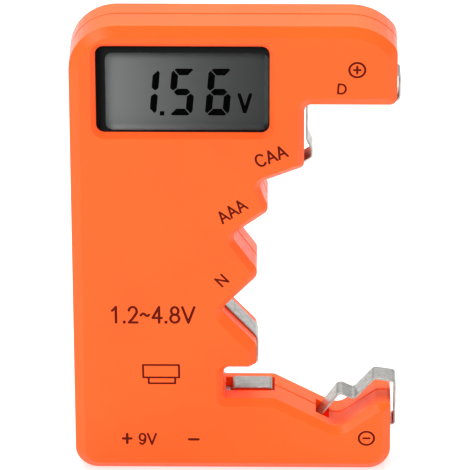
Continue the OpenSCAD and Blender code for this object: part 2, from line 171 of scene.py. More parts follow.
# A cutter is moved this many metres that way after each cut that left a hole
NUDGE = 1e-7
NUDGE_WAY = Vector((1, 2, 1.5))
CUT_ATTEMPTS = 6


def open_edges(piece):
    """How many edges don't join exactly two faces. A whole solid has none."""
    mesh = bmesh.new()
    mesh.from_mesh(piece.data)
    count = sum(len(edge.link_faces) != 2 for edge in mesh.edges)
    mesh.free()
    return count


def edit_whole_mesh(piece, operator, **options):
    """Runs one edit mode operator on all of a piece."""
    make_active(piece)
    bpy.ops.object.mode_set(mode="EDIT")
    bpy.ops.mesh.select_all(action="SELECT")
    operator(**options)
    bpy.ops.object.mode_set(mode="OBJECT")


def cut(piece, cutter):
    """Takes one solid out of another and throws the cutter away.

    A cut that leaves a hole is made again from the uncut mesh, with the cutter a ten
    thousandth of a millimetre or two further on."""
    edit_whole_mesh(piece, bpy.ops.mesh.quads_convert_to_tris)
    uncut = piece.data.copy()
    for attempt in range(CUT_ATTEMPTS):
        piece.data = uncut.copy()
        cutter.location = NUDGE_WAY * attempt * NUDGE
        make_active(piece)
        modifier = piece.modifiers.new("cut", "BOOLEAN")
        modifier.operation = "DIFFERENCE"
        modifier.solver = "EXACT"
        modifier.object = cutter
        bpy.ops.object.modifier_apply(modifier=modifier.name)
        if not open_edges(piece):
            break
    bpy.data.objects.remove(cutter)


def welded_copy(node, name, whole_flats=True):
    """A copy of a frame solid whose loose triangles are joined."""
    source = frame["nodes"][node]
    copy = bpy.data.objects.new(name, source.data.copy())
    scene.collection.objects.link(copy)
    edit_whole_mesh(copy, bpy.ops.mesh.remove_doubles, threshold=WELD)
    if whole_flats:
        edit_whole_mesh(copy, bpy.ops.mesh.dissolve_limited, angle_limit=FLAT_ANGLE)
    return copy


# %% [markdown]
# ## The case outline
# The outline is a list of corners, each with a radius and with the width of the front
# bevel along the side that follows it. Moving every side inwards by its own amount gives
# the loops that the cutters for the bevels and the parting line are made from.

# %% Outline of the case
# Each corner's x and z, its radius, and the bevel's width along the side that follows it
CASE_OUTLINE = [
    (-31, 0, 4.5, 1.5), (30, 0, 4.5, 1.5), (30, 14.5, 0.8, 1.2), (27.3, 14.5, 1.5, 1.3),
    (19.8, 8.8, 3, 1.3), (7.5, 15.5, 1.5, 1.3), (-2.3, 15.5, 0.6, 1.3),
    (-2.3, 22.4, 1.2, 0.9), (2.7, 22.4, 0.6, 0.9), (4.1, 23.3, 0.5, 1.3),
    (4.1, 27.45, 2, 1.8), (-2.8, 35.05, 1.4, 1.2), (4.8, 43, 2.2, 1.1),
    (-0.85, 51.05, 1.7, 1.2), (6.5, 56.5, 1.6, 1.1), (4.4, 62.35, 1.4, 1.2),
    (13, 65.8, 1.3, 1.2), (13, 78.8, 1.3, 1.8), (30.3, 78.8, 1.4, 1.8),
    (30.3, 90.2, 3.4, 1.8), (26.4, 95, 10.3, 1.8), (-31, 95, 9, 1.9),
]
BEVEL_WIDTHS = [corner[3] for corner in CASE_OUTLINE]
EVEN_WIDTHS = [1.0] * len(CASE_OUTLINE)
LEAST_RADIUS = 0.2
# Degrees that a round corner turns from one point to the next, and what is too little for
# a point of its own, as a share of that
ARC_STEP = 6
ROUNDING = 1e-6


def turned_left(v):
    return Vector((-v.y, v.x))


def arc(corner, radius, coming, leaving):
    """Points of the arc that rounds a corner between two directions."""
    angle = math.atan2(coming.x * leaving.y - coming.y * leaving.x, coming.dot(leaving))
    side = math.copysign(1, angle)
    start = corner - coming * radius * math.tan(abs(angle) / 2)
    middle = start + turned_left(coming) * side * radius
    count = max(1, math.ceil(abs(math.degrees(angle)) / ARC_STEP - ROUNDING))
    return [
        middle + Matrix.Rotation(angle * k / count, 2) @ (start - middle)
        for k in range(count + 1)
    ]


def case_loop(insets):
    """The outline moved inwards by one amount for each side."""
    count = len(CASE_OUTLINE)
    corners = [Vector(corner[:2]) for corner in CASE_OUTLINE]
    ways = [(corners[(i + 1) % count] - corners[i]).normalized() for i in range(count)]
    loop = []
    for i in range(count):
        before, after = ways[i - 1], ways[i]
        m, n = turned_left(before), turned_left(after)
        # The new corner is where both sides cross once each has moved by its own inset
        p = m.dot(corners[i]) + insets[i - 1]
        q = n.dot(corners[i]) + insets[i]
        meet = Vector((p * n.y - q * m.y, m.x * q - n.x * p)) / (m.x * n.y - m.y * n.x)
        # A corner that sticks out gets a smaller radius, and one that goes in a larger one
        bend = math.copysign(1, before.x * after.y - before.y * after.x)
        radius = CASE_OUTLINE[i][2] - bend * (insets[i - 1] + insets[i]) / 2
        loop += arc(meet, max(LEAST_RADIUS, radius), before, after)
    return loop


print("outline:", len(CASE_OUTLINE), "corners,", len(case_loop(BEVEL_WIDTHS)), "points")

# %% [markdown]
# ## The case mouldings
# A mould has no sharp edges, and the soft highlight along each edge is what makes an object
# look moulded. A bevel modifier would stumble over the many small faces in the jaws, so
# the edges are rounded with cutters instead: a ring follows the outline, its section is the
# waste that a round nosed tool would take off, and a Boolean modifier removes it. The same
# is done at the parting line, where both shells have a small rounded step.

# %% Sections of the waste
CASE_DEPTH = 2 * HALF_THICKNESS
FRONT_BEVEL_DEPTH = 1.15
REAR_BEVEL = 1.0
# Shares of the bevel: how far its edges are rounded, how far it is cut past its own size,
# and how far the roundings run on outside the case
FRONT_SOFTNESS = 0.075
REAR_SOFTNESS = 0.25
BEVEL_EXTRA = 0.03
BEVEL_RUN_ON = -0.015
SEAM_DEPTH = 6.6
# The step at the parting line: its half width at the outside and at its floor, the point
# that its curve is pulled towards, and how deep it is
SEAM_HALF_WIDTH = 0.34
SEAM_HALF_FLOOR = 0.1
SEAM_PULL = 0.14
SEAM_DEEP = 0.30
SEAM_RUN_ON = -0.01
# The waste goes this far outside the case, so that no film is left
OUTSIDE = -0.15
CURVE_STEPS = 5


def bezier(a, b, c):
    """Points of a quadratic curve from a to c that is pulled towards b."""
    points = []
    for k in range(CURVE_STEPS + 1):
        t = k / CURVE_STEPS
        points.append(tuple(
            (1 - t) ** 2 * a[i] + 2 * t * (1 - t) * b[i] + t * t * c[i] for i in (0, 1)
        ))
    return points


def bevel_waste(softness):
    """Section of what is cut off outside a bevel with rounded edges, as (inset, depth)
    shares of the bevel's width and depth."""
    edge = 1 + BEVEL_EXTRA
    reach = edge + softness
    upper = bezier((reach, BEVEL_RUN_ON), (edge, 0), (edge - softness, softness))
    lower = bezier((softness, edge - softness), (0, edge), (BEVEL_RUN_ON, reach))
    return [(reach, OUTSIDE)] + upper + lower + [(OUTSIDE, reach), (OUTSIDE, OUTSIDE)]


def seam_waste(away):
    """Section of the rounded step at the parting line, on the side that away points to."""
    rounded = bezier(
        (SEAM_RUN_ON, SEAM_HALF_WIDTH), (0, SEAM_PULL), (SEAM_DEEP, SEAM_HALF_FLOOR)
    )
    section = [(OUTSIDE, SEAM_HALF_WIDTH)] + rounded
    section += [(SEAM_DEEP, -SEAM_HALF_FLOOR), (OUTSIDE, -SEAM_HALF_FLOOR)]
    return [(u, SEAM_DEPTH + away * v) for u, v in section]


front_section = [(u, v * FRONT_BEVEL_DEPTH) for u, v in bevel_waste(FRONT_SOFTNESS)]
rear_section = [
    (u * REAR_BEVEL, CASE_DEPTH - v * REAR_BEVEL) for u, v in bevel_waste(REAR_SOFTNESS)
]
print("points of a bevel's section:", len(front_section))

# %% Round the edges of both shells
# Metres: what the cuts leave closer than this is joined, and shorter than this is dropped
WELD_AFTER_CUTS = 1.5e-6
SHORTEST = 1e-6
# Degrees: the sharpest bend that is shaded as a curve
SHELL_BEND = 30


def soften(piece, bend):
    """Smooth shading that keeps the flats flat."""
    edit_whole_mesh(piece, bpy.ops.mesh.remove_doubles, threshold=WELD_AFTER_CUTS)
    edit_whole_mesh(piece, bpy.ops.mesh.dissolve_degenerate, threshold=SHORTEST)
    edit_whole_mesh(piece, bpy.ops.mesh.delete_loose)
    bpy.ops.object.shade_smooth_by_angle(angle=math.radians(bend))
    modifier = piece.modifiers.new("flats", "WEIGHTED_NORMAL")
    modifier.keep_sharp = True
    modifier.mode = "FACE_AREA"
    bpy.ops.object.modifier_apply(modifier=modifier.name)


def case_shell(node, body, sections):
    """A welded copy of a shell with its outer edges rounded."""
    piece = welded_copy(node, "moulded_" + node)
    for widths, section in sections:
        loops = [
            at_depth(case_loop([u * width for width in widths]), depth)
            for u, depth in section
        ]
        cut(piece, loft("edge_waste", loops + loops[:1], closed=True))
    edit_whole_mesh(piece, bpy.ops.mesh.dissolve_limited, angle_limit=FLAT_ANGLE)
    soften(piece, SHELL_BEND)
    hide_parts(node)
    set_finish(piece, "shell_plastic")
    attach(piece, body)
    print(piece.name, "faces:", len(piece.data.polygons), "open edges:", open_edges(piece))
    return piece


front_moulding = case_shell(
    "front_shell", "case", [(BEVEL_WIDTHS, front_section), (EVEN_WIDTHS, seam_waste(-1))]
)
rear_moulding = case_shell(
    "rear_shell", "case", [(EVEN_WIDTHS, rear_section), (EVEN_WIDTHS, seam_waste(1))]
)

# %% [markdown]
# ## The contact strips
# The contacts are cut from sheet nickel silver, so their edges are not sharp: the shear
# rolls one edge over, and plating rounds the rest. The frame's strips keep their shape and
# get a narrow bevel all along, on a copy.

# %% Round the edges of the strips
# An edge that turns by more than this is rounded, in so many steps
EDGE_ANGLE = math.radians(60)
EDGE_SEGMENTS = 2
STRIP_EDGE = 0.09
# Degrees: the sharpest bend that is shaded as a curve
STRIP_BEND = 40
STRIPS = {
    "bay_strip": "case",
    "aaa_strip": "case",
    "n_strip": "case",
    "snap_contact_positive": "case",
    "snap_contact_negative": "case",
    "negative_contact": "negative_contact",
    "button_contact": "button_contact",
}


def rounded_copy(node, body, slot, radius, whole_flats=True):
    """A welded copy of a solid whose sharp edges have a small radius."""
    piece = welded_copy(node, "finished_" + node, whole_flats)
    make_active(piece)
    modifier = piece.modifiers.new("edges", "BEVEL")
    modifier.width = radius * MM
    modifier.segments = EDGE_SEGMENTS
    modifier.limit_method = "ANGLE"
    modifier.angle_limit = EDGE_ANGLE
    modifier.use_clamp_overlap = True
    bpy.ops.object.modifier_apply(modifier=modifier.name)
    soften(piece, STRIP_BEND)
    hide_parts(node)
    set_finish(piece, slot)
    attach(piece, body)
    return piece


strips = [
    rounded_copy(node, body, "nickel_strip", STRIP_EDGE) for node, body in STRIPS.items()
]
print("strips:", len(strips))

# %% [markdown]
# ## The display
# A black surround holds a clear window in a sloped opening. Behind it lies the liquid
# crystal: a grey film on glass, with dark segments that make the figures. A segment is a bar
# with a pointed tip at each end, and seven of them make a digit. All lean a little to the
# right. Each one is a flat piece of its own, a hundredth of a millimetre thick, that stands
# just clear of the film. A picture of them on the film would be simpler, but it would blur
# in a close view, and it would be no part of the exported mesh.

# %% Surround and window
BEZEL_EDGE = 0.12
WINDOW_EDGE = 0.1
bezel = rounded_copy("display_bezel", "case", "bezel_plastic", BEZEL_EDGE, whole_flats=False)
window = rounded_copy("display_window", "case", "clear_window", WINDOW_EDGE)
print("window faces:", len(window.data.polygons))

# %% Bars of a digit
DIGIT_WIDTH = 4.55
DIGIT_HEIGHT = 9.73
MIDDLE = DIGIT_HEIGHT / 2


def left_right(points):
    return [(DIGIT_WIDTH - x, z) for x, z in points][::-1]


def upside_down(points):
    return [(x, DIGIT_HEIGHT - z) for x, z in points][::-1]


# Each bar is mitred where it meets the next, and the digit's outer corners are cut off
top_bar = [
    (1.5, DIGIT_HEIGHT - 1.38), (DIGIT_WIDTH - 1.5, DIGIT_HEIGHT - 1.38),
    (DIGIT_WIDTH - 0.52, DIGIT_HEIGHT - 0.26), (DIGIT_WIDTH - 0.86, DIGIT_HEIGHT),
    (0.86, DIGIT_HEIGHT), (0.52, DIGIT_HEIGHT - 0.26),
]
upper_left_bar = [
    (0.58, MIDDLE + 0.3), (1.28, MIDDLE + 0.9), (1.28, DIGIT_HEIGHT - 1.42),
    (0.36, DIGIT_HEIGHT - 0.42), (0, DIGIT_HEIGHT - 0.9), (0, MIDDLE + 0.83),
]
middle_bar = [
    (1.36, MIDDLE - 0.68), (DIGIT_WIDTH - 1.36, MIDDLE - 0.68), (DIGIT_WIDTH - 0.72, MIDDLE),
    (DIGIT_WIDTH - 1.36, MIDDLE + 0.68), (1.36, MIDDLE + 0.68), (0.72, MIDDLE),
]
BARS = {
    "top": top_bar, "middle": middle_bar, "bottom": upside_down(top_bar),
    "upper_left": upper_left_bar, "lower_left": upside_down(upper_left_bar),
    "upper_right": left_right(upper_left_bar),
    "lower_right": upside_down(left_right(upper_left_bar)),
}
print("bars of a digit:", len(BARS))

# %% Segments of the reading
SEGMENT_DEPTH = 2.235
SEGMENT_THICKNESS = 0.012
DIGIT_BASE = 75.94
LEAN = 0.085
# Each digit's left side, and the bars of it that are dark
READING = [
    (-19.3, ("upper_right", "lower_right")),
    (-12.57, ("top", "upper_left", "middle", "lower_right", "bottom")),
    (-5.66, ("top", "upper_left", "middle", "lower_left", "lower_right", "bottom")),
]
DECIMAL_POINT = [(-14.09, 75.9), (-13.24, 75.9), (-13.19, 76.8), (-14.04, 76.8)]
VOLTS_SIGN = [
    (1.53, 76.44), (2.15, 76.44), (3.26, 80.4), (3.12, 80.6), (2.64, 80.57), (1.86, 77.9),
    (1.08, 80.57), (0.6, 80.6), (0.46, 80.4),
]


def segment(name, points):
    """A flat piece of constant thickness just in front of the film."""
    return loft(name, [
        at_depth(points, SEGMENT_DEPTH), at_depth(points, SEGMENT_DEPTH + SEGMENT_THICKNESS)
    ])


segments = []
for digit, (left, names) in enumerate(READING):
    for name in names:
        outline = [(left + x + z * LEAN, DIGIT_BASE + z) for x, z in BARS[name]]
        segments.append(segment(f"digit_{digit}_{name}", outline))
segments.append(segment("digit_point", DECIMAL_POINT))
segments.append(segment("unit_volts", VOLTS_SIGN))
make_active(segments[0])
for piece in segments:
    piece.select_set(True)
bpy.ops.object.join()
reading = bpy.context.object
reading.name = "display_reading"
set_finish(reading, "display_segments")
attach(reading, "case")
print("display segments:", len(segments))

# %% [markdown]
# ## Printed marks
# The marks are pad printed: a film of dark ink, here two hundredths of a millimetre thick,
# in plain thin lettering. A font would be quicker, but its letters have other shapes, so
# each letter is drawn as a few strokes, as with a pen. A stroke is a curve with a round
# section, which is made a mesh and pressed flat, so it has soft edges and stands a hair
# proud of the face, as ink does.

# %% Letters as strokes
# The gap between two letters, as a share of their height
LETTER_SPACE = 0.2


def bow(cx, cy, rx, ry, start, end, count=14):
    """Points of an elliptical arc, with its angles in degrees."""
    return [
        (cx + rx * math.cos(math.radians(start + (end - start) * k / count)),
         cy + ry * math.sin(math.radians(start + (end - start) * k / count)))
        for k in range(count + 1)
    ]


# The width of each letter and its strokes, in a cell of height 1
LETTERS = {
    "A": (0.72, [[(0, 0), (0.36, 1), (0.72, 0)], [(0.13, 0.33), (0.59, 0.33)]]),
    "C": (0.74, [bow(0.4, 0.5, 0.38, 0.5, 42, 318, 22)]),
    "D": (0.7, [[(0, 0), (0, 1)],
                [(0, 1), (0.3, 1)] + bow(0.3, 0.5, 0.38, 0.5, 90, -90) + [(0, 0)]]),
    "N": (0.66, [[(0, 0), (0, 1), (0.66, 0), (0.66, 1)]]),
    "V": (0.72, [[(0, 1), (0.36, 0), (0.72, 1)]]),
    "1": (0.3, [[(0, 0.76), (0.14, 0.84), (0.3, 1), (0.3, 0)]]),
    "2": (0.54, [bow(0.27, 0.72, 0.26, 0.28, 170, -25) + [(0.3, 0.3), (0.02, 0), (0.56, 0)]]),
    "4": (0.58, [[(0.43, 0), (0.43, 1), (0, 0.3), (0.6, 0.3)]]),
    "8": (0.54, [bow(0.27, 0.75, 0.22, 0.25, -90, 270, 20),
                 bow(0.27, 0.26, 0.27, 0.26, 90, 450, 20)]),
    "9": (0.54, [bow(0.27, 0.67, 0.26, 0.33, 0, 360, 20),
                 bow(0.2, 0.52, 0.33, 0.52, 12, -60) + bow(0.25, 0.2, 0.2, 0.2, 280, 200, 6)]),
    ".": (0.04, [[(0, 0), (0, 0.05)], [(0.04, 0), (0.04, 0.05)]]),
    "~": (0.44, [[(0.04 * k, 0.5 + 0.08 * math.sin(0.62 * k - 0.55)) for k in range(12)]]),
}
print("letters:", " ".join(LETTERS))

# %% Draw with a pen
INK_PROUD = 0.02
# The pen is lifted where a stroke turns by more than the angle with this cosine
SHARP_TURN = 0.82
# How far along its round end the pen has which radius, as shares of its half width
ROUND_END = [(math.sin(t), math.cos(t)) for t in (0.5, 0.95, 1.3, 1.54)]
PEN_ROUNDNESS = 2
# Degrees: the sharpest bend that is shaded as a curve
INK_BEND = 50


def lift_pen_at_corners(stroke):
    """The stroke as parts that each bend only a little."""
    parts, part = [], [Vector(stroke[0]), Vector(stroke[1])]
    for point in map(Vector, stroke[2:]):
        before = (part[-1] - part[-2]).normalized()
        if before.dot((point - part[-1]).normalized()) < SHARP_TURN:
            parts.append(part)
            part = [part[-1]]
        part.append(point)
    return parts + [part]


def with_round_ends(part, width):
    """Points of the part and their radii, with both ends narrowed to a half circle."""
    first = (part[0] - part[1]).normalized() * width / 2
    last = (part[-1] - part[-2]).normalized() * width / 2
    head = [(part[0] + first * along, radius) for along, radius in ROUND_END]
    tail = [(part[-1] + last * along, radius) for along, radius in ROUND_END]
    return head[::-1] + [(point, 1.0) for point in part] + tail


def pen_strokes(name, strokes, width):
    """One mesh of flattened round strokes on the front face."""
    deselect_all()
    bpy.ops.curve.primitive_bezier_curve_add()
    pen = bpy.context.object
    pen.name = name
    line = pen.data
    line.splines.clear()
    line.dimensions = "3D"
    line.bevel_depth = width * MM / 2
    line.bevel_resolution = PEN_ROUNDNESS
    line.use_fill_caps = True
    for stroke in strokes:
        for part in lift_pen_at_corners(stroke):
            points = with_round_ends(part, width)
            spline = line.splines.new("POLY")
            spline.points.add(len(points) - 1)
            for point, (place, radius) in zip(spline.points, points):
                point.co = (place.x * MM, 0, place.y * MM, 1)
                point.radius = radius
    bpy.ops.object.convert(target="MESH")
    pressed = Matrix.Diagonal((1, INK_PROUD / (width / 2), 1, 1))
    face = Matrix.Translation((0, -HALF_THICKNESS * MM, 0))
    pen.data.transform(face @ pressed)
    bpy.ops.object.shade_smooth_by_angle(angle=math.radians(INK_BEND))
    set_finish(pen, "ink")
    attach(pen, "case")
    return pen


# %% Set a line of letters
def letter_strokes(letter, left, width, height):
    """Strokes of a letter that stands on zero, in millimetres."""
    usual_width, strokes = LETTERS[letter]
    return [
        [(left + u / usual_width * width, v * height) for u, v in stroke] for stroke in strokes
    ]


def even_places(text):
    """The left side and the width of each letter, as shares of the text's width, where the
    letters follow each other at one distance."""
    advances = [LETTERS[letter][0] for letter in text]
    total = sum(advances) + LETTER_SPACE * (len(text) - 1)
    places, cursor = [], 0.0
    for advance in advances:
        places.append((cursor / total, advance / total))
        cursor += advance + LETTER_SPACE
    return places


def lettering(name, text, middle, height, width, pen, angle=0, places=None):
    """A text of a given height and width, ink and all, that is centred at a place."""
    drawn_width, drawn_height = width - pen, height - pen
    turn = Matrix.Rotation(math.radians(angle), 2)
    text_middle = Vector((drawn_width / 2, drawn_height / 2))
    x, z = middle
    placed = []
    for letter, (left, share) in zip(text, places or even_places(text)):
        strokes = letter_strokes(letter, left * drawn_width, share * drawn_width, drawn_height)
        for stroke in strokes:
            points = [turn @ (Vector(point) - text_middle) for point in stroke]
            placed.append([(point.x + x, point.y + z) for point in points])
    return pen_strokes(name, placed, pen)


# %% [markdown]
# Each cell size stands beside its step and leans with it. A ring with a plus and one with a
# minus mark the two ends of a cell, and the openings in the lower edge have their own plus
# and minus. The voltages of button cells and a picture of such a cell belong to the slot.

# %% Print the marks
PLUS_AT, MINUS_AT = (22.77, 86.58), (25.37, 7.27)
RING_RADIUS = 1.48
RING_POINTS = 32
# Half lengths of the bars of a sign, across and upright
RING_SIGN = 0.6
RING_SIGN_UP = RING_SIGN + 0.1
NINE_PLUS_AT, NINE_MINUS_AT = (-20.95, 7.0), (-8.05, 6.86)
NINE_PLUS = 0.8
NINE_PLUS_UP = 1.0
NINE_MINUS = 0.9
# The left side and the width of each letter of the voltages, as shares of the text's width
RANGE_PLACES = [
    (0, 0.046), (0.144, 0.006), (0.202, 0.102), (0.35, 0.102), (0.498, 0.106), (0.658, 0.006),
    (0.716, 0.108), (0.863, 0.147),
]
# A button cell from the side: the broad can above, and the narrow cap that points down
BUTTON_CELL = [
    [(-17.68, 20.65), (-10.78, 20.65), (-10.82, 23.4), (-17.72, 23.4), (-17.68, 20.65)],
    [(-16.65, 20.6), (-16.65, 19.35), (-11.55, 19.35), (-11.55, 20.6)],
]


def ring(middle):
    return bow(*middle, RING_RADIUS, RING_RADIUS, 0, 360, RING_POINTS)


def bar(middle, half, upright=False):
    x, z = middle
    return [(x, z - half), (x, z + half)] if upright else [(x - half, z), (x + half, z)]


marks = [
    lettering("mark_cell_d", "D", (20.0, 82.64), height=2.3, width=1.85, pen=0.4, angle=-4),
    lettering("mark_cell_c_aa", "CAA", (6.72, 68.5), height=2.85, width=6.4, pen=0.44, angle=24),
    lettering("mark_cell_aaa", "AAA", (-0.6, 56.85), height=2.75, width=6.1, pen=0.42, angle=35),
    lettering("mark_cell_n", "N", (-2.53, 41.95), height=2.5, width=1.95, pen=0.41, angle=42),
    lettering(
        "mark_range", "1.2~4.8V", (-15.72, 34.42), height=3.9, width=16.05, pen=0.52,
        places=RANGE_PLACES,
    ),
    lettering("mark_nine_volts", "9V", (-16.97, 6.92), height=2.75, width=3.65, pen=0.42),
    pen_strokes("mark_plus", [
        ring(PLUS_AT), bar(PLUS_AT, RING_SIGN), bar(PLUS_AT, RING_SIGN_UP, upright=True)
    ], width=0.44),
    pen_strokes("mark_minus", [ring(MINUS_AT), bar(MINUS_AT, RING_SIGN)], width=0.44),
    pen_strokes("mark_nine_plus", [
        bar(NINE_PLUS_AT, NINE_PLUS), bar(NINE_PLUS_AT, NINE_PLUS_UP, upright=True)
    ], width=0.54),
    pen_strokes("mark_nine_minus", [bar(NINE_MINUS_AT, NINE_MINUS)], width=0.56),
    pen_strokes("mark_button_cell", BUTTON_CELL, width=0.41),
]
print("marks:", len(marks))

# %% [markdown]
# ## Finishes
# Each finish is a node tree on a Principled shader. A tree that is wired node by node is
# hard to read, so sums on numbers are written as plain Python expressions instead: a small
# class wraps a number socket, and an expression adds the Math nodes. Every other node comes
# from one method that takes its kind, its settings and the values or links of its sockets.

# %% Numbers that can be used in sums
class Number:
    """A number socket that can be used in sums."""

    def __init__(self, finish, socket):
        self.finish = finish
        self.socket = socket

    def combine(self, operation, first, second):
        return self.finish.number(
            "ShaderNodeMath", {"operation": operation}, {0: first, 1: second}
        )

    def __add__(self, other):
        return self.combine("ADD", self, other)

    def __sub__(self, other):
        return self.combine("SUBTRACT", self, other)

    def __rsub__(self, other):
        return self.combine("SUBTRACT", other, self)

    def __mul__(self, other):
        return self.combine("MULTIPLY", self, other)

    def __abs__(self):
        return self.finish.number("ShaderNodeMath", {"operation": "ABSOLUTE"}, {0: self})

    __radd__ = __add__
    __rmul__ = __mul__


# %% A material that is built node by node
MM_IN_A_METRE = 1000
# Sockets of a Mix node that mixes colours
MIX_FACTOR, MIX_FIRST, MIX_SECOND, MIX_RESULT = 0, 6, 7, 2


def socket_name(key):
    """The name of a socket on the shader, such as Specular IOR Level."""
    return key.replace("_", " ").title().replace("Ior", "IOR")


class Finish:
    """A material that is built node by node."""

    def __init__(self, name, **shader_values):
        self.material = bpy.data.materials.new(name)
        self.material.use_nodes = True
        self.tree = self.material.node_tree
        self.tree.nodes.clear()
        self.output = self.tree.nodes.new("ShaderNodeOutputMaterial")
        self.shader = self.add("ShaderNodeBsdfPrincipled")
        self.set(**shader_values)
        self.tree.links.new(self.shader.outputs[0], self.output.inputs["Surface"])
        self.coordinates = self.add("ShaderNodeTexCoord")

    def add(self, kind, settings=None, inputs=None):
        """Adds a node. Its settings come first, then the values or links of its sockets."""
        node = self.tree.nodes.new(kind)
        for key, value in (settings or {}).items():
            setattr(node, key, value)
        for key, value in (inputs or {}).items():
            self.plug(node, key, value)
        return node

    def plug(self, node, key, value):
        """Gives a socket a value, or links it to another node's socket."""
        if isinstance(value, Number):
            value = value.socket
        if isinstance(value, bpy.types.NodeSocket):
            self.tree.links.new(value, node.inputs[key])
        else:
            node.inputs[key].default_value = value

    def set(self, **values):
        """Gives the shader's own sockets their values or links."""
        for key, value in values.items():
            self.plug(self.shader, socket_name(key), value)

    def number(self, kind, settings=None, inputs=None, output=0):
        return Number(self, self.add(kind, settings, inputs).outputs[output])

    def stretched(self, scale):
        """Object coordinates in millimetres, stretched by one factor for each axis."""
        return self.add("ShaderNodeMapping", None, {
            "Vector": self.coordinates.outputs["Object"],
            "Scale": tuple(MM_IN_A_METRE * factor for factor in scale),
        }).outputs[0]

    def along(self, *axes):
        """How far a place lies along each axis, in millimetres."""
        place = self.add("ShaderNodeSeparateXYZ", None, {0: self.stretched((1, 1, 1))})
        return [Number(self, place.outputs[axis]) for axis in axes]

    def noise(self, scale, detail, stretch=(1, 1, 1)):
        """Soft random variation with this many cells to a millimetre."""
        return self.number("ShaderNodeTexNoise", None, {
            "Vector": self.stretched(stretch), "Scale": scale, "Detail": detail,
        })

    def step(self, value, low, high, out_low=0.0, out_high=1.0):
        """A smooth change from one number to another as the value goes from low to high."""
        return self.number("ShaderNodeMapRange", {"interpolation_type": "SMOOTHSTEP"}, {
            0: value, 1: low, 2: high, 3: out_low, 4: out_high,
        })

    def mix(self, mask, first, second):
        """A colour that is the first where the mask is 0, and the second where it is 1."""
        return self.add("ShaderNodeMix", {"data_type": "RGBA"}, {
            MIX_FACTOR: mask, MIX_FIRST: first, MIX_SECOND: second,
        }).outputs[MIX_RESULT]

    def bump(self, height, depth, strength):
        """Relief of a real depth in millimetres."""
        self.plug(self.shader, "Normal", self.add("ShaderNodeBump", None, {
            "Height": height, "Distance": depth * MM, "Strength": strength,
        }).outputs[0])


def colour(red, green, blue):
    return (red, green, blue, 1.0)


# %% [markdown]
# ### Orange plastic
# The mouldings are orange and fairly glossy, with a grain that is barely seen and a gloss that
# handling has made uneven. Light gets a little way into such plastic and comes out redder, which
# keeps deep slots red. Subsurface scattering would do that too, but it is slow and blurs the
# fine edges, so a faint constant red glow stands in for it: painted light, which lifts the shade
# in the slots. A thin sheen lifts the faces that are seen at a low angle.

# %% Orange moulded plastic
ORANGE, PALER_ORANGE = colour(0.93, 0.108, 0.001), colour(0.96, 0.117, 0.002)
ORANGE_ROUGHNESS = (0.30, 0.42)
ORANGE_GRAIN = (-0.02, 0.02)


def orange_plastic():
    # The red glow is painted light: it lifts the shade in deep slots and keeps it red.
    finish = Finish(
        "orange_plastic", ior=1.385, emission_color=colour(0.18, 0.004, 0.0),
        emission_strength=1.0, sheen_weight=0.1, sheen_roughness=0.5,
        sheen_tint=colour(1.0, 0.35, 1.0),
    )
    cloudy = finish.noise(0.06, detail=3)
    grain = finish.noise(7.0, detail=2)
    rubbed = finish.noise(0.35, detail=4, stretch=(1, 1, 3))
    finish.set(
        base_color=finish.mix(finish.step(cloudy, 0.35, 0.65), ORANGE, PALER_ORANGE),
        roughness=finish.step(rubbed, 0.3, 0.8, *ORANGE_ROUGHNESS)
        + finish.step(grain, 0.3, 0.7, *ORANGE_GRAIN),
    )
    finish.bump(grain, depth=0.004, strength=0.35)
    return finish.material


# %% [markdown]
# ### Nickel plating
# Rolling leaves fine streaks along a strip, and plating is never quite even. Noise that is
# drawn out along the strips gives the streaks, in the gloss and as a slight relief, and a
# coarser noise gives the cloudy patches.

# %% Nickel plated strip
BRIGHT_NICKEL, DULL_NICKEL = colour(0.45, 0.437, 0.415), colour(0.35, 0.342, 0.325)
NICKEL_ROUGHNESS = (0.22, 0.38)
DULLER_BY = (0, 0.06)
# The strips' width lies along y, so the streaks change fastest that way
ALONG_THE_STRIPS = (0.15, 3, 0.15)


def nickel():
    finish = Finish("nickel_plating", metallic=1.0)
    rolling = finish.noise(3.0, detail=3, stretch=ALONG_THE_STRIPS)
    mottle = finish.noise(0.9, detail=3)
    finish.set(
        base_color=finish.mix(finish.step(mottle, 0.35, 0.7), BRIGHT_NICKEL, DULL_NICKEL),
        roughness=finish.step(rolling, 0.25, 0.75, *NICKEL_ROUGHNESS)
        + finish.step(mottle, 0.4, 0.7, *DULLER_BY),
    )
    finish.bump(rolling, depth=0.004, strength=0.5)
    return finish.material


# %% [markdown]
# ### Plain plastics, rubbers and inks
# The parts inside and the ink have no pattern of their own. A fine grain and a slight
# change of shade keep them from looking flat, so one function makes all of them, and each
# says only what sets it apart.

# %% Plain finishes
SHADE_CHANGE = 0.15


def plain(name, base, rough=(0.35, 0.5), grain_scale=4.0, relief=0.003, **shader_values):
    """A finish with fine grain and a little variation in its colour."""
    finish = Finish(name, **shader_values)
    cloudy = finish.noise(0.4, detail=3)
    grain = finish.noise(grain_scale, detail=2)
    darker = tuple(channel * (1 - SHADE_CHANGE) for channel in base)
    finish.set(
        base_color=finish.mix(finish.step(cloudy, 0.3, 0.7), colour(*base), colour(*darker)),
        roughness=finish.step(grain, 0.3, 0.7, *rough),
    )
    finish.bump(grain, relief, strength=0.4)
    return finish.material


# %% [markdown]
# ### The display's layers
# The window is thin clear acrylic. A glass shader bends light through it and needs many samples
# to come out clean, so here it simply lets light through and mixes in gloss where it is seen at
# a low angle. The surround is black, with painted shade that makes it blacker close to the
# opening's wall. The film behind is grey, with painted light that makes it lighter on the left,
# a painted shade under its upper edge and painted light along its lower one.

# %% Window
# How much gloss is mixed in where the sheet is seen edge on
RIM_GLOSS = 0.6


